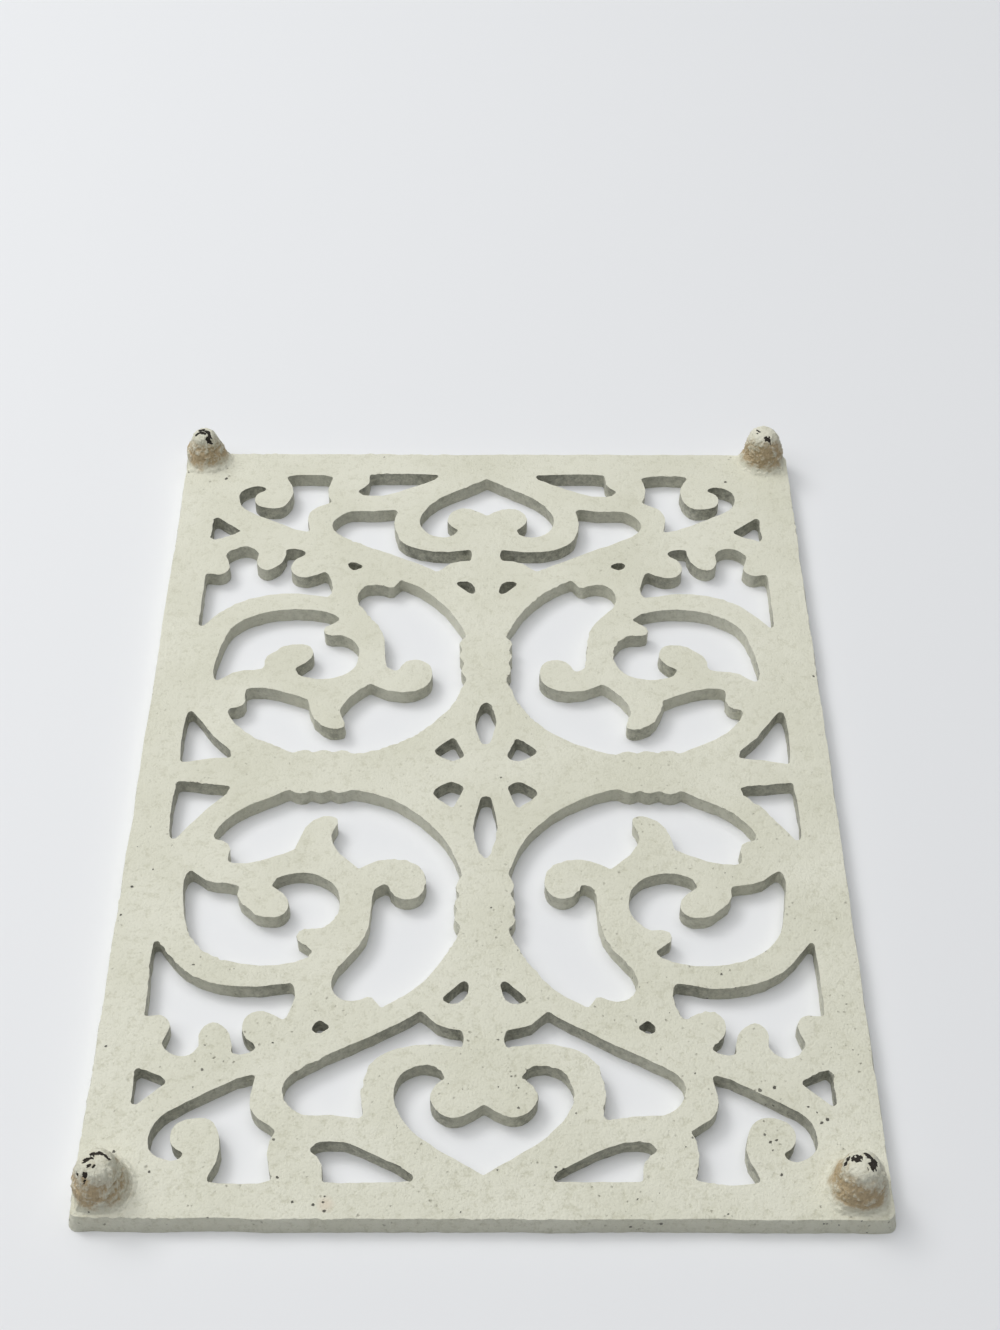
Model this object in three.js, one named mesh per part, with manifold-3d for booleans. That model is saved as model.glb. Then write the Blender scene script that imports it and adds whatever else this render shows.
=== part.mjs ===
// A cast scrollwork trivet, in mm, lying on its pot face with its four feet pointing up.
// x runs across the width, y along the length, z up. The origin is the centre of the pot face.
import * as THREE from "three";
import { mergeVertices, toCreasedNormals } from "three/addons/utils/BufferGeometryUtils.js";
import Module from "manifold-3d";

// Plate
const plateWidth = 202;
const plateLength = 282;
const plateThickness = 5;
const cornerRadius = 2.5;
const edgeDraft = 1;
const sideRail = 11.7;
const endRail = 10.2;
const openingRadius = 0.9;

// Feet: cast in the other half of the mould, so the four of them sit a little off centre together.
const footHeight = 11.2;
const footRootRadius = 6.3;
const footNeckRadius = 5.9;
const footNeckHeight = 1.6;
const footShoulderRadius = 4.8;
const footTipRadius = 3;
const footTipRound = 1.8;
const footInsetX = 7.8;
const footInsetY = 6;
const feetShiftX = -0.9;
const feetShiftY = 3.6;

// Drawing
const curveTolerance = 0.15;
const cornerSteps = 5;
const openingSteps = 16;
const footSteps = 32;
const rimSteps = 4;

const wasm = await Module();
wasm.setup();

const feet = [
  ["foot_front_left", -1, -1],
  ["foot_front_right", 1, -1],
  ["foot_back_left", -1, 1],
  ["foot_back_right", 1, 1],
].map(([name, signX, signY]) => ({
  name,
  x: signX * (plateWidth / 2 - footInsetX) + feetShiftX,
  y: signY * (plateLength / 2 - footInsetY) + feetShiftY,
}));

// The right front quarter of the pattern: x from the long axis, v from the short axis to the end rail.
// Each opening is a loop of runs. A run is a smooth curve through its points; runs meet at corners.
const ringCircle = [45, 44.4, 39.5];
function ring(fromDegrees, toDegrees) {
  const [centreX, centreV, radius] = ringCircle;
  const steps = Math.ceil(Math.abs(toDegrees - fromDegrees) / 12);
  return Array.from({ length: steps + 1 }, (unused, i) => {
    const angle = THREE.MathUtils.degToRad(fromDegrees + ((toDegrees - fromDegrees) * i) / steps);
    return [centreX + radius * Math.cos(angle), centreV + radius * Math.sin(angle)];
  });
}

const roundel = [
  [
    [75.8, 23.6], [76.3, 22.2], ...ring(-44, -68), [56.2, 5.9], [54.6, 6.8], [53, 7.2], [51.4, 7],
    [50.2, 6.1], [48.8, 6.5], [47.3, 7], [45.8, 6.7], [44.3, 5.9], [43, 6.6], [41.8, 7], [40, 6.5],
    [38.2, 5.6], [36, 5.9], ...ring(252, 194), [6.4, 36.2], [7.3, 38], [7.9, 39.5], [7.7, 41.2],
    [7.1, 42.7], [7.8, 44], [8.5, 45.5], [8.2, 46.9], [7.7, 48], [8, 49.6], [8.5, 51.1], [7.8, 52.6],
    [6.5, 54], [6.7, 55.4], ...ring(158, 117),
  ],
  [
    [27.1, 79.6], [28.4, 77.8], [29.4, 76.4], [30.6, 76.2], [32.6, 77.2], [34.8, 77.6], [37, 77.2],
    [39.4, 75.4], [40.4, 73.2], [40.3, 70], [39.1, 67], [36.6, 63.6], [34, 60.1], [32.2, 56.5],
    [31.3, 52.8], [30.9, 48], [30.6, 43.8], [30.1, 41.2], [28.9, 40.1], [27.6, 39.3], [26.5, 39.9],
    [25.9, 41.5], [24.6, 43.2], [21.8, 44.3], [19, 43.6], [17.1, 41.6], [16.4, 38.4], [17.1, 35],
    [19, 32.6], [21.8, 31.1], [25.3, 30.6], [29.5, 31.3], [32.5, 32.7], [35, 34.1],
  ],
  [
    [35, 34.1], [37.4, 32.1], [40.4, 28.9], [42.6, 25.4], [43.4, 22.6], [42.7, 20.3], [41.8, 18],
    [41.9, 16.4], [43.4, 15.5], [46, 15.7], [48.6, 17.1], [50.8, 19.7], [52.1, 23.2], [53.1, 27.4],
  ],
  [
    [53.1, 27.4], [57, 29.2], [62, 31.2], [66.5, 32.3], [69.8, 32.3], [71.6, 31.3], [71.6, 29.3],
    [71.3, 27.2], [72, 25.3], [73.6, 24.1], [75.8, 23.6],
  ],
];

const innerScroll = [
  [
    [58.6, 40], [57.3, 37.4], [54, 36], [50, 35.5], [46, 36.5], [42.5, 38.6], [40.5, 41.4], [39.6, 45.5],
    [40, 49.5], [42, 52.7], [45.2, 54.6], [48.4, 54.5], [50.2, 55.3], [50.7, 56.8], [50.2, 58.4],
    [48, 59.9], [46, 61.8],
  ],
  [
    [46, 61.8], [47.5, 63.6], [50.5, 65.1], [55, 66.1], [60, 66.4], [65, 65.9], [70, 64.6],
    [74.5, 62.2], [78, 59.1], [80.3, 55], [81.7, 49.5], [82.6, 43], [83, 38.4], [82.5, 36], [81.6, 34.5],
  ],
  [
    [81.6, 34.5], [79.5, 36], [77, 38], [74, 39], [70.5, 39.3], [68.4, 39.9], [67.8, 41.2],
    [67.9, 43.2], [66.9, 45.7], [64.3, 48], [62.4, 49.9], [60, 50.7], [57, 50.7], [54.7, 49.5],
    [53.5, 47], [53.9, 44.4], [55.5, 42.4], [58.6, 40],
  ],
];

const kite = [
  [[6.2, 4.9], [7.6, 3.6], [9.5, 2.8], [12.4, 4.1], [14.4, 5.7], [15.1, 7.1]],
  [[15.1, 7.1], [12.9, 9.6], [10.6, 11.4], [9.5, 12.4], [8.7, 11.5], [7.4, 8], [6.2, 4.9]],
];

const railTriangle = [
  [[73, 4.6], [77, 4], [81, 3.7], [85, 2.9], [88.6, 2.5]],
  [[88.6, 2.5], [89.1, 8], [89.3, 15], [89, 21], [88.6, 23.2], [87.7, 23.9], [86.9, 23.4], [83.5, 18.6],
    [79.6, 13.2], [76, 9.5], [73.9, 7.4], [73, 4.6]],
];

const railSpandrel = [
  [[88.4, 57.6], [89, 59.8], [89.1, 70], [88.9, 82.3]],
  [[88.9, 82.3], [87, 82.1], [85, 81.7], [82.9, 82.7], [81.8, 85], [82.4, 87.6], [83.3, 90.4],
    [82.3, 92.5], [79.8, 94.2], [77.2, 94.7], [74.9, 93.6], [73.5, 91.6]],
  [[73.5, 91.6], [73.9, 88.3], [72.9, 85.4], [70.6, 84.1], [68, 85.3], [65.9, 87.9], [65, 91.2],
    [65.1, 93.6]],
  [[65.1, 93.6], [62.8, 93.9], [60.4, 93.3], [58.8, 92.2]],
  [[58.8, 92.2], [59.6, 90.6], [61.5, 89.2], [62.9, 86.4], [62.7, 83.3], [60.9, 81.2], [57.9, 80.6],
    [55, 81.7], [52.6, 83.3]],
  [[52.6, 83.3], [51.6, 82.3], [50.6, 79.6], [49.8, 76], [50.1, 73.5], [51, 71.9]],
  [[51, 71.9], [55, 72.5], [60, 73.4], [65, 73.4], [70, 72.6], [75, 70.8], [79.5, 68.2], [83.2, 64.5],
    [86.1, 60.8], [88.4, 57.6]],
];

const drop = [
  [[39.8, 85.3], [41.3, 84.3], [42.6, 83.3], [44, 84.2], [44.8, 86.2], [43.7, 87.3], [42.3, 87.2],
    [41, 86.3], [39.8, 85.3]],
];

const halfLeaf = [
  [[4.9, 70.8], [6.5, 71.9], [9, 74.5], [11.3, 77.3]],
  [[11.3, 77.3], [9.4, 78.3], [7.1, 78.3], [5.4, 77], [4.5, 75], [4.2, 72.4], [4.9, 70.8]],
];

const wing = [
  [[16.8, 80.7], [18.6, 82], [22, 84.2], [28, 87.5], [34, 91], [40, 94], [46, 97.4], [49.8, 100.3],
    [51.3, 103.6], [50.6, 107], [48.2, 110], [45.5, 111.6], [42, 111.8], [38, 111.6], [34, 112.2],
    [31, 112.6]],
  [[31, 112.6], [30, 111.4], [30.6, 108.7], [31.1, 105.5], [30.5, 101.5], [29.3, 97.2], [26.8, 94.3],
    [22.5, 92], [18, 90.9], [13, 90.7], [9, 91.2], [5.7, 91.7]],
  [[5.7, 91.7], [5.3, 89], [5.8, 86.5]],
  [[5.8, 86.5], [9.2, 86], [12.5, 84.8], [15, 82.2], [16.8, 80.7]],
];

const endLeaf = [
  [[16.4, 129.8], [18.3, 127.3], [21.5, 125.3], [26.2, 122.8], [31, 120.5], [35, 119.1], [38.5, 118.8],
    [41.8, 119.5], [43.6, 121.3]],
  [[43.6, 121.3], [41.4, 123], [39.9, 125.3], [39.7, 127.8], [39.6, 129.9]],
  [[39.6, 129.9], [34, 130.2], [24, 130.1], [16.4, 129.8]],
];

const cornerVolute = [
  [[58.3, 100.1], [59.6, 100], [63, 101], [69, 104.3], [75, 107.8], [79.5, 110.5], [82.3, 113.6],
    [83.5, 118], [83, 121.3], [80.8, 123.4], [77.5, 124.5], [75.3, 123.9], [74.2, 122.5]],
  [[74.2, 122.5], [76.3, 121.2], [77.9, 119], [77.9, 115.8], [76.2, 113.5], [73, 112.3], [69.7, 112.3],
    [67.4, 114.1], [65.9, 117.5], [65.3, 121.3], [65.9, 124.8], [67.3, 127.6], [68.2, 130]],
  [[68.2, 130], [65, 130.6], [60, 130.8], [55.5, 130.5], [52, 129.6]],
  [[52, 129.6], [52.9, 126.7], [53.5, 122.5], [53.2, 118.7], [52, 116.1]],
  [[52, 116.1], [53.8, 114.7], [57, 112.6], [58.9, 109.8], [59.4, 106], [58.8, 102.6], [58.3, 100.1]],
];

const cornerTriangle = [
  [[80.5, 102.1], [82.8, 100.3], [88.3, 97.9]],
  [[88.3, 97.9], [89.3, 99.3], [89.2, 103.5], [89.2, 107.8], [88.3, 108.8]],
  [[88.3, 108.8], [84.3, 105.3], [80.5, 102.1]],
];

// Openings that cross the long axis are drawn as their right half, from axis to axis.
const petal = [
  [[0, 7.9], [1.3, 8.3], [2.2, 11.5], [3.1, 15.7], [3.5, 19.5], [3, 23.5], [1.7, 28.5], [0, 30.8]],
];

const heart = [
  [[0, 108.4], [2.6, 110.3], [5.2, 111.7], [8.2, 112.1], [11, 110.9], [13, 108.6], [13.6, 105.3],
    [12.2, 102.7], [9.8, 100.5]],
  [[9.8, 100.5], [10.9, 98.4], [13.5, 97.1], [16.6, 97.1], [19.8, 98.6], [22, 101.2], [23, 105.5],
    [22.2, 109.3], [19.9, 113.6], [16.5, 117.4], [12, 120.6], [6, 124.4], [0, 128.3]],
];

// The back half was cut a little tighter: there each opening fills the box [x from, x to, v from, v to].
const sideOpenings = [
  { runs: roundel, backBox: [6, 76.6, 7.8, 80] },
  { runs: innerScroll, backBox: [38.7, 82.6, 36.3, 67] },
  { runs: kite, backBox: [6.3, 15.2, 5, 14] },
  { runs: railTriangle, backBox: [73.6, 89.1, 4.4, 24.6] },
  { runs: railSpandrel, backBox: [48.3, 89, 58.5, 94.8] },
  { runs: drop, backBox: [38.6, 44.2, 84.4, 87.8] },
  { runs: halfLeaf, backBox: [3.8, 10, 73.4, 79.4] },
  { runs: wing, backBox: [4.5, 50, 83.6, 112.8] },
  { runs: endLeaf, backBox: [15.4, 42.8, 119.2, 130] },
  { runs: cornerVolute, backBox: [50.8, 81.4, 102.2, 129.5] },
  { runs: cornerTriangle, backBox: [79.3, 88.8, 98, 109] },
];
const axisOpenings = [
  { runs: petal, backBox: [0, 3.1, 11.6, 28.5] },
  { runs: heart, backBox: [0, 21.8, 99.8, 127.8] },
];

function extent(points) {
  const across = points.map((point) => point[0]);
  const along = points.map((point) => point[1]);
  return [Math.min(...across), Math.max(...across), Math.min(...along), Math.max(...along)];
}

function fitted(runs, box) {
  const [fromX, toX, fromV, toV] = extent(runs.flat());
  return runs.map((run) => run.map(([x, v]) => [
    THREE.MathUtils.mapLinear(x, fromX, toX, box[0], box[1]),
    THREE.MathUtils.mapLinear(v, fromV, toV, box[2], box[3]),
  ]));
}

// The drawn pattern is stretched to fill the field inside the rails.
const drawn = extent(sideOpenings.flatMap((opening) => opening.runs.flat()));
const stretchX = (plateWidth / 2 - sideRail) / drawn[1];
const stretchY = (plateLength / 2 - endRail) / drawn[3];

function flatten(curve, from, start, to, end, points) {
  const half = (from + to) / 2;
  const middle = curve.getPoint(half);
  const nearest = new THREE.Line3(start, end).closestPointToPoint(middle, true, new THREE.Vector3());
  if (nearest.distanceTo(middle) > curveTolerance) {
    flatten(curve, from, start, half, middle, points);
    flatten(curve, half, middle, to, end, points);
  } else {
    points.push(end);
  }
}

function runPoints(run) {
  const knots = run.map(([x, v]) => new THREE.Vector3(x * stretchX, v * stretchY, 0));
  const curve = new THREE.CatmullRomCurve3(knots, false, "centripetal");
  const spans = knots.length - 1;
  const points = [];
  for (let i = 0; i < spans; i += 1) {
    flatten(curve, i / spans, knots[i], (i + 1) / spans, knots[i + 1], points);
  }
  return points;
}

function acrossAxis(runs) {
  const right = runs.flatMap(runPoints);
  const left = right.slice(0, -1).reverse().map((point) => new THREE.Vector3(-point.x, point.y, 0));
  const start = new THREE.Vector3(0, runs[0][0][1] * stretchY, 0);
  return [start, ...right, ...left];
}

function mirrored(points, signX, signY) {
  const moved = points.map((point) => new THREE.Vector2(point.x * signX, point.y * signY));
  return signX * signY > 0 ? moved : moved.reverse();
}

function asManifold(geometry) {
  geometry.deleteAttribute("normal");
  geometry.deleteAttribute("uv");
  const merged = mergeVertices(geometry, 1e-5);
  const solid = new wasm.Mesh({
    numProp: 3,
    vertProperties: new Float32Array(merged.attributes.position.array),
    triVerts: new Uint32Array(merged.index.array),
  });
  return new wasm.Manifold(solid);
}

// No corner of a cast opening is sharp: shrinking an outline and growing it again rounds its corners.
function cutter(points) {
  const outline = new wasm.CrossSection([points.map((point) => [point.x, point.y])], "NonZero");
  const shrunk = outline.offset(-openingRadius, "Miter");
  const rounded = shrunk.offset(openingRadius, "Round", 2, openingSteps).simplify(curveTolerance / 5);
  return rounded.extrude(plateThickness * 3).translate([0, 0, -plateThickness]);
}

function roundedRectangle(width, length, radius) {
  const corners = [[1, 1, 0], [-1, 1, 90], [-1, -1, 180], [1, -1, 270]];
  return corners.flatMap(([signX, signY, startDegrees]) =>
    Array.from({ length: cornerSteps + 1 }, (unused, i) => {
      const angle = THREE.MathUtils.degToRad(startDegrees + (90 * i) / cornerSteps);
      const x = signX * (width / 2 - radius) + radius * Math.cos(angle);
      const y = signY * (length / 2 - radius) + radius * Math.sin(angle);
      return [x, y];
    }),
  );
}

// The plate before its openings are cut: the outline leans in from the pot face to the foot side.
function plateBlank() {
  const low = roundedRectangle(plateWidth, plateLength, cornerRadius);
  const high = roundedRectangle(plateWidth - 2 * edgeDraft, plateLength - 2 * edgeDraft, cornerRadius);
  const count = low.length;
  const vertices = [];
  low.forEach(([x, y]) => vertices.push(x, y, 0));
  high.forEach(([x, y]) => vertices.push(x, y, plateThickness));
  const faces = [];
  for (let i = 0; i < count; i += 1) {
    const next = (i + 1) % count;
    faces.push(i, next, count + next, i, count + next, count + i);
  }
  for (let i = 1; i < count - 1; i += 1) {
    faces.push(0, i + 1, i);
    faces.push(count, count + i, count + i + 1);
  }
  const blank = new THREE.BufferGeometry();
  blank.setAttribute("position", new THREE.Float32BufferAttribute(vertices, 3));
  blank.setIndex(faces);
  return asManifold(blank);
}

// The plate swells into a round boss under each foot, so that a foot near the edge is carried all round.
function boss({ x, y }) {
  const baseRadius = footRootRadius + edgeDraft;
  const post = new THREE.CylinderGeometry(footRootRadius, baseRadius, plateThickness, footSteps);
  post.rotateX(Math.PI / 2);
  post.translate(x, y, plateThickness / 2);
  return asManifold(post);
}

function latticePlate() {
  const cutters = [];
  for (const { runs, backBox } of sideOpenings) {
    const front = runs.flatMap(runPoints);
    const back = fitted(runs, backBox).flatMap(runPoints);
    for (const signX of [1, -1]) {
      cutters.push(cutter(mirrored(front, signX, -1)));
      cutters.push(cutter(mirrored(back, signX, 1)));
    }
  }
  for (const { runs, backBox } of axisOpenings) {
    cutters.push(cutter(mirrored(acrossAxis(runs), 1, -1)));
    cutters.push(cutter(mirrored(acrossAxis(fitted(runs, backBox)), 1, 1)));
  }
  const blank = wasm.Manifold.union([plateBlank(), ...feet.map(boss)]);
  const plate = blank.subtract(wasm.Manifold.union(cutters)).getMesh();
  const geometry = new THREE.BufferGeometry();
  geometry.setAttribute("position", new THREE.Float32BufferAttribute(plate.vertProperties, 3));
  geometry.setIndex(Array.from(plate.triVerts));
  return toCreasedNormals(geometry, Math.PI / 6);
}

// A tapered peg: a flared root, straight sides and a flat tip with a rounded rim.
function foot() {
  const rim = Array.from({ length: rimSteps + 1 }, (unused, i) => {
    const angle = (Math.PI / 2) * (i / rimSteps);
    const radius = footTipRadius + (footShoulderRadius - footTipRadius) * Math.cos(angle);
    return [radius, footHeight - footTipRound * (1 - Math.sin(angle))];
  });
  const outline = [[0, 0], [footRootRadius, 0], [footNeckRadius, footNeckHeight], ...rim, [0, footHeight]];
  const profile = outline.map(([radius, height]) => new THREE.Vector2(radius, height));
  const geometry = new THREE.LatheGeometry(profile, footSteps);
  geometry.rotateX(Math.PI / 2);
  return geometry;
}

function paintedIron() {
  return new THREE.MeshStandardMaterial({ color: 0xd8d7c8, roughness: 0.6, metalness: 0 });
}

const trivet = new THREE.Group();
trivet.name = "trivet";

const plate = new THREE.Mesh(latticePlate(), paintedIron());
plate.name = "lattice_plate";
trivet.add(plate);

for (const { name, x, y } of feet) {
  const peg = new THREE.Mesh(foot(), paintedIron());
  peg.name = name;
  peg.position.set(x, y, plateThickness);
  trivet.add(peg);
}

export default trivet;
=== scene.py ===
# %% [markdown]
# # A cast scrollwork trivet
#
# The real object is one sand casting in iron, painted cream: a flat pierced plate with a short peg
# foot at each corner. It lies upside down, on its pot face, so the feet point up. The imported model
# already fixes every size and place. This script dresses it: soft cast edges, thick paint, stained
# and chipped feet, and a plain studio round it.

# %% Load the frame
import math
from collections import namedtuple

import bmesh
import bpy
from mathutils import Matrix, Vector, bvhtree, geometry, noise


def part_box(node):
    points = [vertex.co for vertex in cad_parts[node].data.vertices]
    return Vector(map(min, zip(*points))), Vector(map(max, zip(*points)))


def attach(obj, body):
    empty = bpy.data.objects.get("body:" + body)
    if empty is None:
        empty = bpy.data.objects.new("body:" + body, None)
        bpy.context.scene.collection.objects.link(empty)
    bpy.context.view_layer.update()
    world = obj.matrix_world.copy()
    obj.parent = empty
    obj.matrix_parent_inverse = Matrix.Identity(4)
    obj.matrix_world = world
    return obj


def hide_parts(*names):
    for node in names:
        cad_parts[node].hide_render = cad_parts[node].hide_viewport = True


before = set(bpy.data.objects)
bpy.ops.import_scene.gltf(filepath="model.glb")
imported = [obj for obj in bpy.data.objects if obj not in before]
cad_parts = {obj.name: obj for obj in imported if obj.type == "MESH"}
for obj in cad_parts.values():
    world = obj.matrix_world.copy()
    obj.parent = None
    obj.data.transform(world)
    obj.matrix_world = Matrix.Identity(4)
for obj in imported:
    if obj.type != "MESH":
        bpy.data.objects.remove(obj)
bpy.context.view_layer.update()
MM = 0.001

# %% [markdown]
# ## Camera
#
# A trivet is photographed from standing height over the edge of a table. The camera sits in front of
# the short side and looks down at about 47 degrees through a short telephoto lens. Its place and its
# two axes are written out, because the real camera was rolled by a quarter of a degree and a plain
# "look at" would lose that. The sensor is fitted by height, since the picture is upright.

# %% Set up the camera
CAMERA_PLACE = Vector((1.96, -377.39, 455.66)) * MM
CAMERA_RIGHT = Vector((0.99999, -0.00057, 0.00450))
CAMERA_UP = Vector((-0.00266, 0.73100, 0.68237))
LENS = 55.0
SENSOR_HEIGHT = 36.0

camera = bpy.data.objects.new("camera", bpy.data.cameras.new("camera"))
bpy.context.scene.collection.objects.link(camera)
camera.data.sensor_fit = "VERTICAL"
camera.data.sensor_height = SENSOR_HEIGHT
camera.data.lens = LENS
axes = Matrix((CAMERA_RIGHT, CAMERA_UP, CAMERA_RIGHT.cross(CAMERA_UP))).transposed()
camera.matrix_world = Matrix.Translation(CAMERA_PLACE) @ axes.to_4x4()
bpy.context.scene.camera = camera
print("camera looks down by", round(math.degrees(math.asin(axes.col[2].z)), 1), "degrees")

# %% [markdown]
# ## Helpers
#
# Colours are written as the hex values a paint chart would give and turned to linear light once. One
# function adds a shader node, with its settings and links, so that a material reads as a list of
# layers. Another one swaps a mesh for the result of its modifiers, so later steps can work on it.

# %% Define the helpers
def linear(hex_colour):
    """The linear RGBA of an sRGB hex colour."""
    channels = [int(hex_colour[i : i + 2], 16) / 255 for i in (1, 3, 5)]
    curve = [c / 12.92 if c <= 0.04045 else ((c + 0.055) / 1.055) ** 2.4 for c in channels]
    return (*curve, 1.0)


def add_node(tree, kind, sockets=None, **settings):
    """Add a node, set its properties, then fill each socket with a value or link it to an output."""
    node = tree.nodes.new(kind)
    for name, value in settings.items():
        setattr(node, name, value)
    for key, value in (sockets or {}).items():
        if isinstance(value, bpy.types.NodeSocket):
            tree.links.new(value, node.inputs[key])
        else:
            node.inputs[key].default_value = value
    return node


def apply_modifiers(piece):
    """Give the piece the mesh that its modifiers make, and clear them."""
    result = bpy.data.meshes.new_from_object(piece.evaluated_get(bpy.context.evaluated_depsgraph_get()))
    piece.modifiers.clear()
    result.name = piece.name
    piece.data = result


def new_piece(name, shape):
    """Make an object at the origin from a bmesh, and free the bmesh."""
    mesh = bpy.data.meshes.new(name)
    shape.to_mesh(mesh)
    shape.free()
    piece = bpy.data.objects.new(name, mesh)
    bpy.context.scene.collection.objects.link(piece)
    return piece


def smoothstep(low, high, value):
    """0 at or below low, 1 at or above high, and a soft rise between."""
    t = min(max((value - low) / (high - low), 0.0), 1.0)
    return t * t * (3.0 - 2.0 * t)

# %% [markdown]
# ## Paint
#
# The finish is a thick matte cream paint sprayed over a sand casting. The eye sees a warm cream that
# drifts a little in tone over a few centimetres, the grit of the sand mould showing through, olive
# specks where dirt sits in the pits, black pinholes where the paint did not close, and worn places.
# The grit and the pits are stronger towards the front. The worn places depend on the shape, so the
# pieces carry them as masks: "stain", where the paint is rubbed and dirty, "bare", where it is chipped
# down to black iron, and "porous", where the casting is more open. A fourth mask, "narrow", holds
# painted shade: it greys the walls that stand close to another wall, where less light reaches. A speck
# drawn with a plain Voronoi texture is a neat round dot, so its place is first crumpled by a noise.
# The paint is a dielectric, so metallic stays 0, and the bare iron is so dark and rough that it needs
# no metal shader.

# %% Mix the paint
CREAM = linear("#dddccb")
CREAM_SHADE = linear("#d5d4c1")
SAND_OLIVE = linear("#bbb9a2")
SPECK_OLIVE = linear("#86826f")
STAIN = linear("#b4a17f")
# The grey of the painted shade on the walls of the narrow openings.
NARROW_SHADE_GREY = linear("#6c6d62")
RUST_PINK = linear("#d9c0a8")
BARE_IRON = linear("#2a251e")
TONE_SIZE = 28 * MM
DIMPLE_SIZE = 2.0 * MM
GRIT_SIZE = 0.7 * MM
CRUMPLE_SIZE = 0.8 * MM
CRUMPLE_REACH = 0.9 * MM
SPECK_SPACING = 1.3 * MM
PINHOLE_SPACING = 1.8 * MM
RELIEF = 0.34 * MM
RUST_PLACE = Vector((-38.3, -136.2)) * MM
RUST_RADIUS = 2.6 * MM

paint = bpy.data.materials.new("cream_paint_on_cast_iron")
paint.use_nodes = True
nodes = paint.node_tree
nodes.nodes.clear()
place = add_node(nodes, "ShaderNodeTexCoord").outputs["Object"]

tone = add_node(nodes, "ShaderNodeTexNoise", {"Vector": place, "Scale": 1 / TONE_SIZE, "Detail": 3.0})
dimples = add_node(nodes, "ShaderNodeTexNoise", {"Vector": place, "Scale": 1 / DIMPLE_SIZE, "Detail": 3.0})
grit = add_node(nodes, "ShaderNodeTexNoise", {"Vector": place, "Scale": 1 / GRIT_SIZE, "Detail": 3.0,
                                              "Roughness": 0.65})
crumple = add_node(nodes, "ShaderNodeTexNoise", {"Vector": place, "Scale": 1 / CRUMPLE_SIZE, "Detail": 2.0})
crumple_shift = add_node(nodes, "ShaderNodeVectorMath", {0: crumple.outputs["Color"], 1: (0.5,) * 3},
                         operation="SUBTRACT")
crumpled = add_node(nodes, "ShaderNodeVectorMath", {0: crumple_shift.outputs["Vector"],
                                                    1: (CRUMPLE_REACH,) * 3, 2: place},
                    operation="MULTIPLY_ADD")

# %% Lay the cream and its sand grain
tone_share = add_node(nodes, "ShaderNodeMapRange", {"Value": tone.outputs["Fac"], "From Min": 0.35,
                                                    "From Max": 0.65})
cream = add_node(nodes, "ShaderNodeMix", {0: tone_share.outputs["Result"], 6: CREAM, 7: CREAM_SHADE},
                 data_type="RGBA")
sand = add_node(nodes, "ShaderNodeMath", {0: grit.outputs["Fac"], 1: dimples.outputs["Fac"]},
                operation="MULTIPLY")
along = add_node(nodes, "ShaderNodeSeparateXYZ", {"Vector": place})
sand_most = add_node(nodes, "ShaderNodeMapRange", {"Value": along.outputs["Y"], "From Min": 40 * MM,
                                                   "From Max": -120 * MM, "To Min": 0.5, "To Max": 0.7})
sand_share = add_node(nodes, "ShaderNodeMapRange", {"Value": sand.outputs["Value"], "From Min": 0.24,
                                                    "From Max": 0.10,
                                                    "To Max": sand_most.outputs["Result"]})
sandy = add_node(nodes, "ShaderNodeMix", {0: sand_share.outputs["Result"], 6: cream.outputs[2],
                                          7: SAND_OLIVE}, data_type="RGBA")

# %% Scatter the specks and the pinholes
porous_mask = add_node(nodes, "ShaderNodeAttribute", attribute_name="porous")
porous_most = add_node(nodes, "ShaderNodeMapRange", {"Value": along.outputs["Y"], "From Min": 40 * MM,
                                                     "From Max": -120 * MM, "To Min": 0.2, "To Max": 1.1})
porous_patch = add_node(nodes, "ShaderNodeMapRange", {"Value": tone.outputs["Fac"], "From Min": 0.38,
                                                      "From Max": 0.62,
                                                      "To Max": porous_most.outputs["Result"]})
porous = add_node(nodes, "ShaderNodeMath", {0: porous_mask.outputs["Fac"],
                                            1: porous_patch.outputs["Result"]}, operation="MAXIMUM")
specks = add_node(nodes, "ShaderNodeTexVoronoi", {"Vector": crumpled.outputs["Vector"],
                                                  "Scale": 1 / SPECK_SPACING})
speck_lot = add_node(nodes, "ShaderNodeSeparateColor", {"Color": specks.outputs["Color"]})
speck_radius = add_node(nodes, "ShaderNodeMapRange", {"Value": speck_lot.outputs["Green"],
                                                      "From Min": 0.74, "From Max": 1.0, "To Max": 0.36})
speck_depth = add_node(nodes, "ShaderNodeMath", {0: speck_radius.outputs["Result"],
                                                 1: specks.outputs["Distance"]}, operation="SUBTRACT")
speck_dark = add_node(nodes, "ShaderNodeMapRange", {"Value": porous.outputs["Value"], "To Min": 0.15,
                                                    "To Max": 0.85})
speck = add_node(nodes, "ShaderNodeMapRange", {"Value": speck_depth.outputs["Value"], "From Max": 0.22,
                                               "To Max": speck_dark.outputs["Result"]})
specked = add_node(nodes, "ShaderNodeMix", {0: speck.outputs["Result"], 6: sandy.outputs[2],
                                            7: SPECK_OLIVE}, data_type="RGBA")

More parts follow.
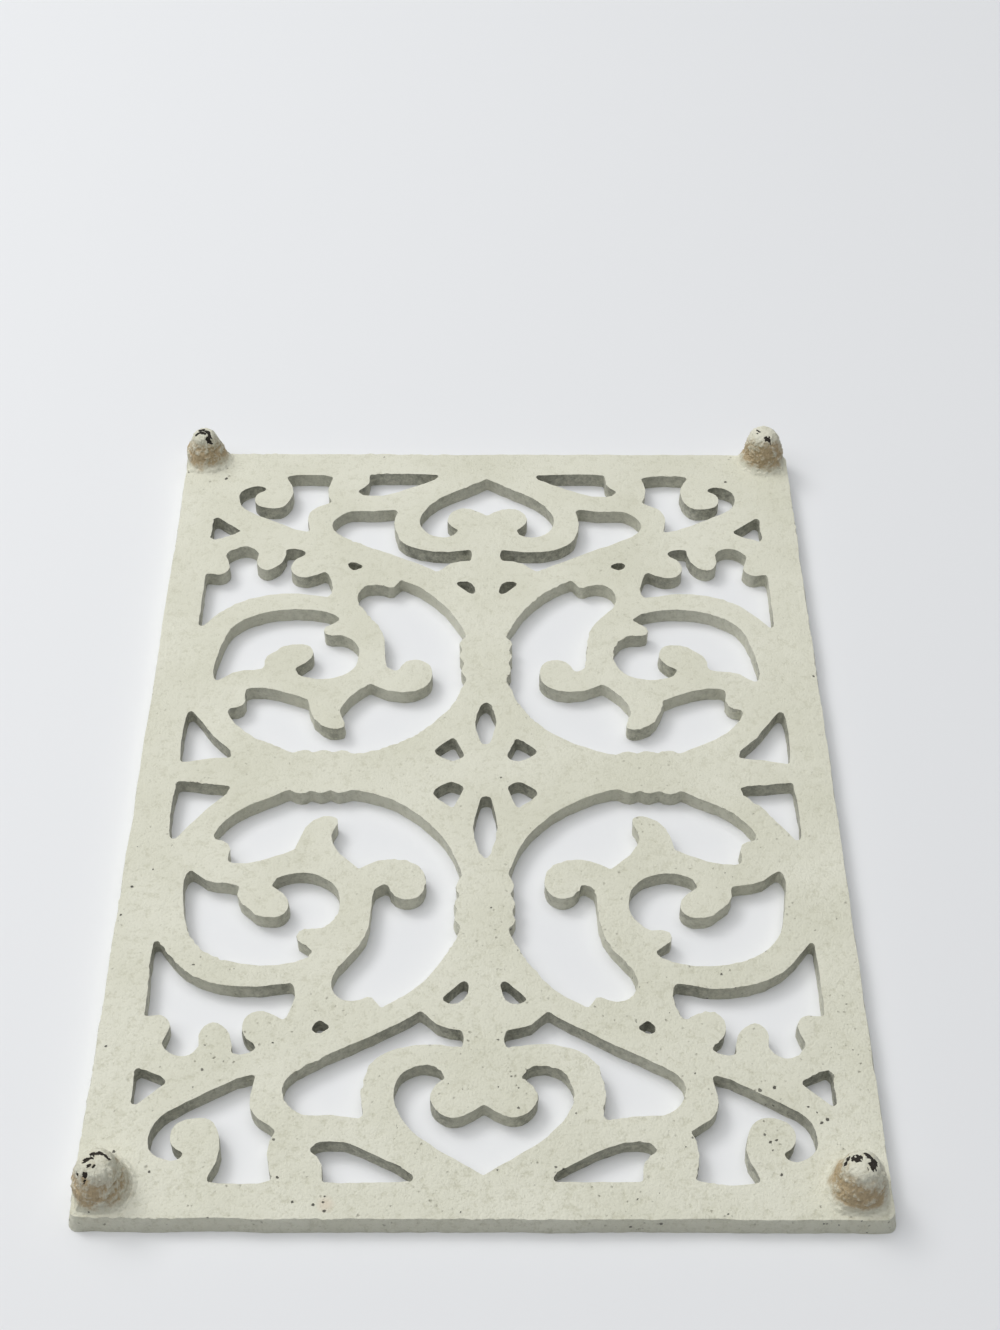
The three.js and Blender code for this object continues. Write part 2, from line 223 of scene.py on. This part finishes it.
pinholes = add_node(nodes, "ShaderNodeTexVoronoi", {"Vector": crumpled.outputs["Vector"],
                                                    "Scale": 1 / PINHOLE_SPACING})
pinhole_lot = add_node(nodes, "ShaderNodeSeparateColor", {"Color": pinholes.outputs["Color"]})
pinhole_luck = add_node(nodes, "ShaderNodeMath", {0: porous.outputs["Value"], 1: 0.25,
                                                  2: pinhole_lot.outputs["Red"]}, operation="MULTIPLY_ADD")
pinhole_radius = add_node(nodes, "ShaderNodeMapRange", {"Value": pinhole_luck.outputs["Value"],
                                                        "From Min": 1.02, "From Max": 1.2,
                                                        "To Max": 0.27})
pinhole_depth = add_node(nodes, "ShaderNodeMath", {0: pinhole_radius.outputs["Result"],
                                                   1: pinholes.outputs["Distance"]}, operation="SUBTRACT")
pinhole = add_node(nodes, "ShaderNodeMapRange", {"Value": pinhole_depth.outputs["Value"],
                                                 "From Max": 0.06, "To Max": 0.75})

# The larger pinholes, each by its place on the plate and its radius, in mm.
PINHOLES = ((74, -103.5, 0.7), (82, -109, 0.45), (84, -110.5, 0.45), (86.5, -112.5, 0.6), (85, -113.5, 0.5),
            (71.5, -119, 0.55), (73, -118.5, 0.5), (73.5, -128, 0.6), (-97, -40.5, 0.55), (-99, -50, 0.5),
            (-92, -34.5, 0.45), (-97.5, -91.5, 0.5), (-54.5, -90.5, 0.45), (-82, -127.5, 0.5),
            (-91.5, -122, 0.55), (-50.5, -129, 0.45), (-86.5, 127.5, 0.8), (-34.5, 138.5, 0.45),
            (79, 126.5, 0.6), (99, 39, 0.5), (4.5, -1, 0.45),
            (-38.5, -134, 0.45), (-38.5, -138, 0.5), (-38.9, -135.7, 0.45), (-41.3, -136.3, 0.5),
            (-46.4, -135.6, 0.45))
PINHOLE_RIM = 0.15 * MM
PINHOLE_PART = 0.8
PINHOLE_DARK = 0.88
plate_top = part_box("lattice_plate")[1][2]
for x, y, radius in PINHOLES:
    reach = add_node(nodes, "ShaderNodeVectorMath", {0: crumpled.outputs["Vector"],
                                                     1: (x * MM, y * MM, plate_top)}, operation="DISTANCE")
    inside = add_node(nodes, "ShaderNodeMapRange", {"Value": reach.outputs["Value"],
                                                    "From Min": radius * PINHOLE_PART * MM,
                                                    "From Max": radius * PINHOLE_PART * MM - PINHOLE_RIM,
                                                    "To Max": PINHOLE_DARK})
    pinhole = add_node(nodes, "ShaderNodeMath", {0: pinhole.outputs[0], 1: inside.outputs["Result"]},
                       operation="MAXIMUM")

# %% Stain and chip the paint
rust_reach = add_node(nodes, "ShaderNodeVectorMath", {0: crumpled.outputs["Vector"],
                                                      1: (*RUST_PLACE, plate_top)}, operation="DISTANCE")
rust_share = add_node(nodes, "ShaderNodeMapRange", {"Value": rust_reach.outputs["Value"],
                                                    "From Min": RUST_RADIUS, "From Max": RUST_RADIUS / 3,
                                                    "To Max": 0.35})
rusty = add_node(nodes, "ShaderNodeMix", {0: rust_share.outputs["Result"], 6: specked.outputs[2],
                                          7: RUST_PINK}, data_type="RGBA")

stain = add_node(nodes, "ShaderNodeAttribute", attribute_name="stain")
stain_patches = add_node(nodes, "ShaderNodeMapRange", {"Value": sand.outputs["Value"], "From Min": 0.14,
                                                       "From Max": 0.36, "To Min": 1.4, "To Max": 0.5})
stain_share = add_node(nodes, "ShaderNodeMath", {0: stain.outputs["Fac"],
                                                 1: stain_patches.outputs["Result"]},
                       operation="MULTIPLY", use_clamp=True)
stained = add_node(nodes, "ShaderNodeMix", {0: stain_share.outputs["Value"],
                                            6: rusty.outputs[2], 7: STAIN}, data_type="RGBA")
# Painted shade: the walls of the narrow openings are mixed towards grey, where less light reaches.
narrow = add_node(nodes, "ShaderNodeAttribute", attribute_name="narrow")
narrow_shade_share = add_node(nodes, "ShaderNodeMath", {0: narrow.outputs["Fac"],
                                                  1: stain_patches.outputs["Result"]},
                        operation="MULTIPLY", use_clamp=True)
gap_shaded = add_node(nodes, "ShaderNodeMix", {0: narrow_shade_share.outputs["Value"],
                                          6: stained.outputs[2], 7: NARROW_SHADE_GREY}, data_type="RGBA")

bare = add_node(nodes, "ShaderNodeAttribute", attribute_name="bare")
bare_ragged = add_node(nodes, "ShaderNodeMath", {0: grit.outputs["Fac"], 1: 0.5,
                                                 2: bare.outputs["Fac"]}, operation="MULTIPLY_ADD")
bare_share = add_node(nodes, "ShaderNodeMapRange", {"Value": bare_ragged.outputs["Value"],
                                                    "From Min": 0.60, "From Max": 0.70})
hole_or_chip = add_node(nodes, "ShaderNodeMath", {0: bare_share.outputs["Result"],
                                                  1: pinhole.outputs["Value"]}, operation="MAXIMUM")
surface = add_node(nodes, "ShaderNodeMix", {0: hole_or_chip.outputs["Value"],
                                            6: gap_shaded.outputs[2], 7: BARE_IRON}, data_type="RGBA")

# %% Give the paint its relief
relief = add_node(nodes, "ShaderNodeMath", {0: dimples.outputs["Fac"], 1: 0.8, 2: grit.outputs["Fac"]},
                  operation="MULTIPLY_ADD")
cut = add_node(nodes, "ShaderNodeMath", {0: hole_or_chip.outputs["Value"], 1: speck.outputs["Result"]},
               operation="MAXIMUM")
relief_cut = add_node(nodes, "ShaderNodeMath", {0: relief.outputs["Value"], 1: cut.outputs["Value"]},
                      operation="SUBTRACT")
bump = add_node(nodes, "ShaderNodeBump", {"Height": relief_cut.outputs["Value"], "Strength": 0.9,
                                          "Distance": RELIEF})
sheen = add_node(nodes, "ShaderNodeMapRange", {"Value": grit.outputs["Fac"], "To Min": 0.5, "To Max": 0.72})
dull = add_node(nodes, "ShaderNodeMath", {0: sheen.outputs["Result"], 1: hole_or_chip.outputs["Value"]},
                operation="MAXIMUM")
shader = add_node(nodes, "ShaderNodeBsdfPrincipled", {"Base Color": surface.outputs[2],
                                                      "Roughness": dull.outputs["Value"], "IOR": 1.48,
                                                      "Normal": bump.outputs["Normal"]})
add_node(nodes, "ShaderNodeOutputMaterial", {"Surface": shader.outputs["BSDF"]})
print("paint layers:", len(nodes.nodes), "nodes")

# %% [markdown]
# ## Plate
#
# No opening of a sand casting has quite the outline of its pattern, and its edges are only broken by
# the grit. Bevelling hundreds of small edges by hand would still look machined, so the casting is
# imitated instead: a copy of the plate is rebuilt from small even cells that keep the edges, and
# relaxed a little, which breaks every edge at once. Then noise moves the walls in and out, from a
# fixed seed, so that every run casts the same plate. Last, the flat areas are thinned, because they do
# not need the cells.

# %% Cast the plate
CELL_DEPTH = 9
CELL_FILL = 0.99
EDGE_BREAK = 0.3
WALL_DRIFT = 0.35 * MM
WALL_DRIFT_LENGTH = 14 * MM
WALL_RIPPLE = 0.2 * MM
WALL_RIPPLE_LENGTH = 3 * MM
FACE_SWELL = 0.12 * MM
EDGE_BURR = 0.42 * MM
EDGE_BURR_LENGTH = 1.4 * MM
BURR_PATCH = 22 * MM
KEPT_SHARE = 0.2
CREASE = math.radians(38)
WALL_SEED = 7

pattern = bmesh.new()
pattern.from_mesh(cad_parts["lattice_plate"].data)
bmesh.ops.remove_doubles(pattern, verts=pattern.verts, dist=0.01 * MM)
plate = new_piece("scrollwork_plate", pattern)
cells = plate.modifiers.new("cells", "REMESH")
cells.mode = "SHARP"
cells.octree_depth = CELL_DEPTH
cells.scale = CELL_FILL
cells.use_remove_disconnected = False
broken_edges = plate.modifiers.new("broken edges", "SMOOTH")
broken_edges.factor = EDGE_BREAK
apply_modifiers(plate)
print("sand mould:", len(plate.data.vertices), "points")

# %% Drift the walls and swell the face
noise.seed_set(WALL_SEED)
for vertex in plate.data.vertices:
    spot = vertex.co.copy()
    drift = noise.noise_vector(spot / WALL_DRIFT_LENGTH) * WALL_DRIFT
    ripple = noise.noise_vector(spot / WALL_RIPPLE_LENGTH) * WALL_RIPPLE
    height_share = spot.z / plate_top
    burr_share = smoothstep(0.6, 0.9, height_share) * smoothstep(0.05, 0.4, noise.noise(spot / BURR_PATCH))
    burr = noise.noise_vector(spot / EDGE_BURR_LENGTH) * EDGE_BURR * burr_share
    vertex.co.x += drift.x + ripple.x + burr.x
    vertex.co.y += drift.y + ripple.y + burr.y
    vertex.co.z += height_share * FACE_SWELL * (noise.noise(spot / WALL_DRIFT_LENGTH) - 0.3)
thinning = plate.modifiers.new("thinning", "DECIMATE")
thinning.ratio = KEPT_SHARE
apply_modifiers(plate)
print("plate:", len(plate.data.polygons), "faces")

# %% [markdown]
# ## Feet
#
# Each foot is a thimble of iron with a skirt of wrinkled paint where it meets the plate. A profile of
# a few points is spun round the foot's axis and subdivided, which keeps the flanks smooth. No two feet
# came out alike, so each one has its own height, lean and dirt, folds where the paint ran, and chips
# at the tip, where the trivet was slid about. A chip is a stroke across the tip, seen from above, in
# mm from the foot's axis, with its half width. A fold runs from one angle and height on the flank to
# another, with its half width and how far it stands out. Angles are in degrees from +X, and so is the
# dirty side. The taper is the part of the radius that is lost at the tip.

# %% Describe the feet
FOOT_PROFILE = ((10.4, -0.3), (9.7, -0.06), (9.0, 0.15), (8.4, 0.5), (7.85, 1.05), (7.35, 1.8), (6.9, 2.8),
                (6.45, 4.0), (6.0, 5.3), (5.6, 6.7), (5.2, 8.1), (4.7, 9.3), (3.9, 10.35), (2.6, 11.0),
                (0.0, 11.2))
PROFILE_HEIGHT = FOOT_PROFILE[-1][1]
SKIRT_RADIUS = FOOT_PROFILE[0][0]
SPIN_STEPS = 48
ROUNDING_LEVELS = 2

FEET = {
    "foot_front_left": {
        "height": 12.0,
        "dirt": 0.75,
        "dirty_side": -100,
        "taper": 0.05,
        "lean": (0.7, 0.4),
        "chips": (
            (((-0.9, 1.8), (0.9, 2.1)), 0.7),
            (((0.9, 2.1), (2.4, 1.6), (3.4, 0.7)), 0.4),
            (((-2.2, 0.1), (-0.9, 0.5)), 0.8),
            (((-1.4, -1.5), (-1.0, -1.5)), 0.38),
            (((0.1, -1.5), (-0.2, -1.9)), 0.45),
            (((-2.2, -3.2), (-2.0, -3.9)), 0.65),
            (((-4.1, -2.1), (-4.0, -2.5)), 0.4),
        ),
        "folds": (((-25, 9.5), (-80, 2.5), 0.9, 0.45),),
    },
    "foot_front_right": {
        "height": 11.7,
        "dirt": 1.1,
        "dirty_side": 200,
        "taper": 0.08,
        "lean": (-0.7, 0.4),
        "chips": (
            (((-3.2, 1.9), (-4.2, 0.6)), 0.5),
            (((-1.7, 0.9), (-1.0, 1.5)), 1.15),
            (((1.0, 2.4), (1.9, 1.8), (2.7, 0.9), (3.1, -0.2), (2.9, -0.9)), 0.85),
            (((2.0, -1.2), (2.6, -1.0)), 1.1),
        ),
        "folds": (((-16, 8.3), (-20, 4.0), 0.7, 0.6), ((-66, 8.4), (-24, 4.6), 0.7, 0.25)),
    },
    "foot_back_left": {
        "height": 10.7,
        "dirt": 0.75,
        "dirty_side": -90,
        "taper": 0.28,
        "lean": (0.2, 0.2),
        "chips": (
            (((-2.4, -0.9), (-0.9, -0.3), (0.4, -0.9)), 0.85),
            (((-1.6, 0.9), (-0.2, 1.2)), 0.7),
            (((0.9, 0.4), (1.9, -0.6), (2.2, -1.7)), 0.8),
            (((1.5, -2.6), (2.2, -2.9)), 0.7),
        ),
        "folds": (((-150, 7.5), (-75, 4.0), 0.8, 0.4),),
    },
    "foot_back_right": {
        "height": 11.3,
        "dirt": 0.9,
        "dirty_side": -90,
        "taper": 0.0,
        "lean": (-0.4, 0.3),
        "chips": (
            (((-2.5, 1.3), (-1.7, 0.1)), 0.45),
            (((-2.5, -0.7), (-2.2, -0.8)), 0.35),
            (((0.3, -2.8), (1.3, -3.6)), 0.8),
            (((1.5, -2.2), (1.4, -2.4)), 0.35),
        ),
        "folds": (((-60, 8.0), (-50, 3.5), 0.8, 0.3),),
    },
}


def axis_of(node_name):
    """Where a foot's axis meets the plate."""
    low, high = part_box(node_name)
    return Vector(((low[0] + high[0]) / 2, (low[1] + high[1]) / 2, low[2]))


# %% Spin the feet
def spin_foot(name, height, taper, lean):
    """A foot of revolution on its CAD node's place, thinned by the taper and leaning at the tip."""
    shape = bmesh.new()
    points = []
    for radius, level in FOOT_PROFILE:
        share = level / PROFILE_HEIGHT
        thinned = radius * (1 - taper * max(share, 0))
        points.append(shape.verts.new((thinned * MM, 0, share * height * MM)))
    for lower, upper in zip(points, points[1:]):
        shape.edges.new((lower, upper))
    bmesh.ops.spin(shape, geom=shape.verts[:] + shape.edges[:], cent=(0, 0, 0), axis=(0, 0, 1),
                   angle=2 * math.pi, steps=SPIN_STEPS, use_merge=True, use_duplicate=False)
    bmesh.ops.remove_doubles(shape, verts=shape.verts, dist=0.01 * MM)
    rim = [edge for edge in shape.edges if edge.is_boundary]
    bmesh.ops.edgeloop_fill(shape, edges=rim)
    bmesh.ops.recalc_face_normals(shape, faces=shape.faces)
    for vertex in shape.verts:
        share = max(vertex.co.z, 0) / (height * MM)
        vertex.co += Vector((lean[0], lean[1], 0)) * share * MM
    bmesh.ops.translate(shape, verts=shape.verts, vec=axis_of(name))
    piece = new_piece(name.replace("foot", "peg"), shape)
    rounding = piece.modifiers.new("rounding", "SUBSURF")
    rounding.levels = ROUNDING_LEVELS
    rounding.render_levels = ROUNDING_LEVELS
    apply_modifiers(piece)
    return piece


# %% [markdown]
# ## Wear of the feet
#
# One pass over the points of a foot does all its wear. Each point is described by its place round the
# axis: how far out, at what angle and how high. Noise wrinkles the skirt in rings and dents the flank,
# the chips are pressed in and the folds raised. The skirt may not hang over the plate's edge, so on
# that side it is drawn in to the root of the foot, which stands on a boss of the plate. Dirt lies in a
# band low on the flank, more in the hollows and on the dirty side of the foot.
#
# Lengths are in mm here and angles in degrees. The rate of a noise is in waves per mm.

# %% Find places on a foot
ROOT_RADIUS = 6.3
UPPER_FACE_HALF = Vector((99.6, 139.6))
GRIME_MOST = 0.1
GRIME_REACH = (7.0, 11.0)

Spot = namedtuple("Spot", "local plan out radius angle share level")


def spot_on(point, axis, look):
    """Describe a point of a foot by its place round the foot's axis."""
    local = (point - axis) / MM
    share = max(local.z, 0) / look["height"]
    plan = local.to_2d() - Vector(look["lean"]) * share
    radius = max(plan.length, 0.01)
    out = plan / radius
    angle = math.degrees(math.atan2(out.y, out.x))
    return Spot(local, plan, out, radius, angle, share, share * PROFILE_HEIGHT)


def distance_to_stroke(point, stroke):
    """The distance from a point to a line through two or more points, all in the plane."""
    distances = []
    for start, end in zip(stroke, stroke[1:]):
        share = geometry.intersect_point_line(point, start, end)[1]
        distances.append((Vector(start).lerp(Vector(end), min(max(share, 0), 1)) - point).length)
    return min(distances)


def skirt_room(axis, direction):
    """How far the skirt may reach in this direction before the plate's upper face ends."""
    room = SKIRT_RADIUS
    for i in range(2):
        if abs(direction[i]) > 1e-6:
            side = math.copysign(UPPER_FACE_HALF[i], direction[i])
            room = min(room, (side - axis[i] / MM) / direction[i])
    return max(room, ROOT_RADIUS)


def grime(radius):
    """How dirty the paint is round a foot, this far from its axis."""
    return GRIME_MOST * (1 - smoothstep(*GRIME_REACH, radius))


# %% Define the chips, the folds and the dirt
CHIP_LOWEST = 0.6
CHIP_RAG = 0.6
CHIP_EDGE = (0.45, 0.95)
FOLD_EDGE = (0.2, 1.0)
PATCH_RATE = 0.35
STREAK_RATE = Vector((0.5, 0.5, 0.15))
STAIN_START = (0.0, 3.6)
STAIN_END = (4.5, 10.5)


def two_noises(point, seed, coarse_rate, fine_rate, fine_part):
    """A coarse noise with a part of a finer one."""
    return noise.noise(point * coarse_rate + seed) + fine_part * noise.noise(point * fine_rate + seed)


def chip_at(spot, look, seed):
    """How much of a chip lies here, from 0 to 1."""
    if spot.share <= CHIP_LOWEST:
        return 0.0
    rag = CHIP_RAG * two_noises(spot.local, seed, 0.9, 2.1, 1.0)
    asides = [distance_to_stroke(spot.plan, stroke) / half_width for stroke, half_width in look["chips"]]
    return 1 - smoothstep(*CHIP_EDGE, min(asides) + rag)


def fold_at(spot, look):
    """How much of a fold lies here, from 0 to 1, and how high it stands."""
    fold = 0.0
    raised = 0.0
    here = Vector((math.radians(spot.angle) * spot.radius, spot.level))
    for start, end, half_width, height in look["folds"]:
        stroke = [Vector((math.radians(turn) * spot.radius, level)) for turn, level in (start, end)]
        crest = 1 - smoothstep(*FOLD_EDGE, distance_to_stroke(here, stroke) / half_width)
        fold = max(fold, crest)
        raised = max(raised, height * crest)
    return fold, raised


def dirt_at(spot, look, seed, hollow):
    """How dirty the flank is here, where it lies this much in a hollow."""
    patch = noise.noise(spot.local * PATCH_RATE + seed)
    streak = noise.noise(Vector((*spot.plan, spot.local.z)) * STREAK_RATE + seed)
    facing = math.cos(math.radians(spot.angle - look["dirty_side"]))
    fade = smoothstep(*STAIN_END, spot.level + 2.0 * patch - 1.2 * facing)
    band = smoothstep(*STAIN_START, spot.level + patch) * (1 - fade)
    return band * (look["dirt"] + 0.35 * facing + 0.8 * streak + hollow)


# %% Wear the feet
FLANK_START = (0.5, 4.0)
FLANK_DENT = 0.3
FLANK_RINGS = 0.45
FLANK_GRAIN = 0.42
GRAIN_FADE = 0.6
LAP_RATE = Vector((0.25, 0.25, 1.1))
CHIP_DEPTH = 0.25
TIP_LIFT = 0.3
SKIRT_START = (6.4, 7.2)
SKIRT_END = (8.4, 9.8)
SKIRT_WRINKLE = 0.36
RING_RATE = 1.2
RING_TURN = 40
CRUMB_RATE = 0.9
TIP_DIRT = 0.05
SEED_SPREAD = 700


def wear_foot(piece, axis, look):
    """Wrinkle, dent, chip and fold a foot, and paint its masks."""
    stain_mask = piece.data.attributes.new("stain", "FLOAT", "POINT")
    bare_mask = piece.data.attributes.new("bare", "FLOAT", "POINT")
    seed = axis * SEED_SPREAD
    for vertex in piece.data.vertices:
        spot = spot_on(vertex.co, axis, look)
        chip = chip_at(spot, look, seed)
        fold, raised = fold_at(spot, look)

        dent = two_noises(spot.local, seed, 0.28, 0.75, 0.6)
        grain = two_noises(spot.local, seed, 1.3, 2.6, 0.7)
        lap = noise.noise(Vector((*spot.plan, spot.local.z)) * LAP_RATE + seed)
        rough = FLANK_DENT * dent + FLANK_RINGS * lap * (1 - spot.share)
        rough += FLANK_GRAIN * grain * (1 - GRAIN_FADE * spot.share)
        push = smoothstep(*FLANK_START, spot.level) * (rough + raised) - chip * CHIP_DEPTH
        vertex.co += Vector((*spot.out, TIP_LIFT * spot.share)) * push * MM

        skirt = smoothstep(*SKIRT_START, spot.radius) * (1 - smoothstep(*SKIRT_END, spot.radius))
        room = skirt_room(axis, spot.out)
        if spot.radius > ROOT_RADIUS and room < SKIRT_RADIUS:
            squeeze = (room - ROOT_RADIUS) / (SKIRT_RADIUS - ROOT_RADIUS)
            vertex.co -= spot.out.to_3d() * (spot.radius - ROOT_RADIUS) * (1 - squeeze) * MM
            skirt *= squeeze
        rings = noise.noise(Vector((spot.radius * RING_RATE, spot.angle / RING_TURN, 0)) + seed)
        crumbs = noise.noise(spot.local.to_2d().to_3d() * CRUMB_RATE + seed)
        vertex.co.z += skirt * SKIRT_WRINKLE * (rings + crumbs) * MM

        dirt = dirt_at(spot, look, seed, hollow=-0.8 * lap - 0.7 * grain - 0.5 * fold)
        stain_mask.data[vertex.index].value = max(dirt, grime(spot.radius), TIP_DIRT * spot.share)
        bare_mask.data[vertex.index].value = chip


feet = []
for name, look in FEET.items():
    foot = spin_foot(name, look["height"], look["taper"], look["lean"])
    wear_foot(foot, axis_of(name), look)
    feet.append((foot, name))
    print(foot.name, len(foot.data.polygons), "faces")

# %% [markdown]
# ## Dirt and painted shade on the plate
#
# The paint is grubby round each foot, where a cloth does not reach. That goes into the "stain" mask,
# by the distance to the nearest foot. The casting is more porous round the feet, and along its upper
# edges, where a point's normal leans. The walls in the narrow openings get painted shade: five glances
# from each point of a wall tell how soon the next wall stands in the way, and the nearer it stands, the
# darker the point is painted. That mask is kept per face corner, so that it ends at the edge and does
# not spread over the top face.

# %% Paint the plate's masks
EDGE_LEAN = (0.3, 0.6)
FACE_LEAN = (0.85, 0.97)
EDGE_POROUS = 0.6
FOOT_POROUS = 0.9
FOOT_REACH = (9.0, 20.0)

stain_mask = plate.data.attributes.new("stain", "FLOAT", "POINT")
porous_points = plate.data.attributes.new("porous", "FLOAT", "POINT")
foot_places = [axis_of(name).to_2d() for name in FEET]
for vertex in plate.data.vertices:
    flat = vertex.co.to_2d()
    nearest = min((flat - foot_place).length for foot_place in foot_places)
    stain_mask.data[vertex.index].value = grime(nearest / MM)
    edge = smoothstep(*EDGE_LEAN, vertex.normal.z) * (1 - smoothstep(*FACE_LEAN, vertex.normal.z))
    near_foot = 1 - smoothstep(*FOOT_REACH, nearest / MM)
    porous_points.data[vertex.index].value = max(EDGE_POROUS * edge, FOOT_POROUS * near_foot)

# %% Paint shade into the narrow openings
NARROW_GAP = 3.0
WIDE_GAP = 24.0
# How dark the painted shade gets on the walls of the narrowest gaps.
NARROW_SHADE = 0.6
START_OFF = 1.5
GLANCES = (-50, -25, 0, 25, 50)
WALL_LEAN = 0.6

wall_faces = [face for face in plate.data.polygons if abs(face.normal.z) < WALL_LEAN]
ways_out = {}
for face in wall_faces:
    for point in face.vertices:
        ways_out[point] = ways_out.get(point, Vector()) + Vector((face.normal.x, face.normal.y, 0))

points = [vertex.co for vertex in plate.data.vertices]
walls = bvhtree.BVHTree.FromPolygons(points, [face.vertices for face in plate.data.polygons])
closed = {}
for point, ahead in ways_out.items():
    start = points[point] + ahead.normalized() * START_OFF * MM
    start.z = plate_top / 2
    closed[point] = 0.0
    for turn in GLANCES:
        glance = Matrix.Rotation(math.radians(turn), 3, "Z") @ ahead
        gap = walls.ray_cast(start, glance, WIDE_GAP * MM)[3]
        if gap is not None:
            closed[point] += (1 - smoothstep(NARROW_GAP, WIDE_GAP, gap / MM)) / len(GLANCES)

# The painted shade, kept per face corner of the walls.
narrow_shade_mask = plate.data.attributes.new("narrow", "FLOAT", "CORNER")
for face in wall_faces:
    for loop in face.loop_indices:
        narrow_shade_mask.data[loop].value = NARROW_SHADE * closed[plate.data.loops[loop].vertex_index]
# The mean is that of the painted shade on the walls.
print("wall points:", len(closed), "mean dirt:", round(sum(closed.values()) / len(closed), 2))

# %% Hand the pieces to the frame
for piece, node_name in [(plate, "lattice_plate")] + feet:
    piece.data.materials.clear()
    piece.data.materials.append(paint)
    piece.data.shade_smooth()
    piece.data.set_sharp_from_angle(angle=CREASE)
    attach(piece, "root")
    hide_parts(node_name)
print("pieces:", 1 + len(feet))

# %% [markdown]
# ## Floor and light
#
# The trivet lies on a white sheet under a bright ceiling, so the top faces are evenly bright and the
# walls that face the camera are in half shade, with soft short shadows. A lamp as wide as a ceiling
# panel gives most of the light, a small one behind and to the left gives the shadows their edges, and
# a very weak sky fills them. The sky is brighter where it is looked at or mirrored, so that it never
# shows dark past the floor. The floor's own colour makes it white; the lamps stay at a level at which
# a colour renders about as it is written. Each lamp has a place and a size in metres, and a power.

# %% Lay the floor
FLOOR_HALF = 3.0
FLOOR_WHITE = linear("#e3e4e5")

sheet = bmesh.new()
bmesh.ops.create_grid(sheet, x_segments=1, y_segments=1, size=FLOOR_HALF)
floor = new_piece("floor", sheet)
floor_paint = bpy.data.materials.new("white_plastic_sheet")
floor_paint.use_nodes = True
floor_shader = floor_paint.node_tree.nodes["Principled BSDF"]
floor_shader.inputs["Base Color"].default_value = FLOOR_WHITE
floor_shader.inputs["Roughness"].default_value = 0.6
floor.data.materials.append(floor_paint)

# %% Hang the lamps
LAMPS = {
    "ceiling_lamp": (Vector((-0.4, 0.2, 1.64)), 2.7, 37.0),
    "side_lamp": (Vector((-1.3, 1.1, 1.8)), 0.8, 15.5),
}
SKY_STRENGTH = 0.1
SKY_SEEN = 0.8
SKY_BLUE = linear("#eef4ff")

for name, (spot, size, power) in LAMPS.items():
    lamp = bpy.data.objects.new(name, bpy.data.lights.new(name, "AREA"))
    bpy.context.scene.collection.objects.link(lamp)
    lamp.data.size = size
    lamp.data.energy = power
    lamp.location = spot
    lamp.rotation_euler = (-spot).to_track_quat("-Z", "Y").to_euler()

world = bpy.data.worlds.new("sky")
world.use_nodes = True
bpy.context.scene.world = world
sky = world.node_tree
path = add_node(sky, "ShaderNodeLightPath")
seen = add_node(sky, "ShaderNodeMath", {0: path.outputs["Is Camera Ray"], 1: path.outputs["Is Glossy Ray"]},
                operation="MAXIMUM")
seen_through = add_node(sky, "ShaderNodeMath", {0: seen.outputs["Value"],
                                                1: path.outputs["Is Transmission Ray"]},
                        operation="MAXIMUM")
strength = add_node(sky, "ShaderNodeMapRange", {"Value": seen_through.outputs["Value"],
                                                "To Min": SKY_STRENGTH, "To Max": SKY_SEEN})
sky.links.new(strength.outputs["Result"], sky.nodes["Background"].inputs["Strength"])
sky.nodes["Background"].inputs["Color"].default_value = SKY_BLUE
bpy.context.scene.view_settings.view_transform = "Standard"
